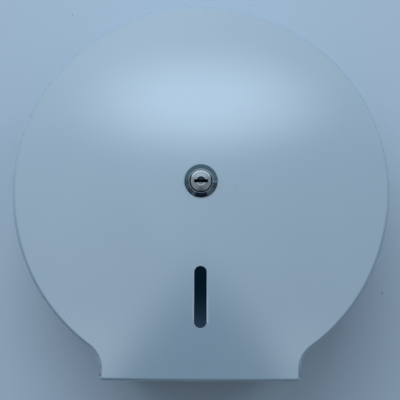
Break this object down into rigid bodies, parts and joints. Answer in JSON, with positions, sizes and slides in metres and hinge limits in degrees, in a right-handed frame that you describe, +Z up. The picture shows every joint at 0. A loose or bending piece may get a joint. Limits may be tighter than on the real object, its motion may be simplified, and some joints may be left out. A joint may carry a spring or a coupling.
{
  "type": "jumbo toilet roll dispenser",
  "caption": "Round wall dispenser for a jumbo toilet roll: domed locking cover hinged at its skirt, back tray, turning hub, level window and steel tear edges.",
  "frame": {"origin": "on the wall plane, at the axis of the round cover, which is the middle of the wall screw pattern", "axes": "+X right as seen from the front, +Z up, +Y into the wall; the front faces -Y"},
  "size_m": [0.27, 0.124, 0.2681],
  "materials": {
    "cover_plastic": "cool white moulded plastic, soft gloss",
    "base_plastic": "light grey moulded plastic, satin",
    "hub_plastic": "off-white moulded plastic, satin",
    "smoked_window": "dark smoked clear plastic, gloss",
    "lock_chrome": "bright chrome plate",
    "lock_nickel": "satin nickel plate, fine turning marks",
    "plated_steel": "bright zinc plated pressed steel",
    "zinc_steel": "zinc plated screw steel",
    "stainless": "fine brushed stainless strip",
    "wafer_brass": "stamped brass"
  },
  "bodies": {
    "wall_unit": {"back_plate": "base_plastic", "spindle_post": "base_plastic", "spindle_screws": "zinc_steel", "keeper_plate": "plated_steel", "keeper_screws": "zinc_steel", "hinge_pins": "plated_steel"},
    "hinged_cover": {"cover_shell": "cover_plastic", "level_window": "smoked_window", "tear_strip_left": "stainless", "tear_strip_right": "stainless", "tear_strip_screws": "zinc_steel", "lock_housing": "lock_chrome", "lock_washer": "plated_steel", "lock_nut": "plated_steel"},
    "key_plug": {"lock_plug": "lock_nickel", "lock_wafers": "wafer_brass", "stop_washer": "plated_steel", "lock_cam": "plated_steel", "cam_washer": "plated_steel", "cam_screw": "zinc_steel"},
    "turning_hub": {"roll_hub": "hub_plastic"}
  },
  "joints": [
    {"name": "cover_hinge", "type": "hinge", "parent": "wall_unit", "child": "hinged_cover", "pos_m": [0, -0.012, -0.122], "axis": [1, 0, 0], "range_deg": [0, 90]},
    {"name": "lock_turn", "type": "hinge", "parent": "hinged_cover", "child": "key_plug", "pos_m": [0, -0.11, 0.01], "axis": [0, 1, 0], "range_deg": [0, 90]},
    {"name": "hub_spin", "type": "hinge", "parent": "wall_unit", "child": "turning_hub", "pos_m": [0, -0.057, 0.01], "axis": [0, 1, 0], "continuous": true}
  ]
}
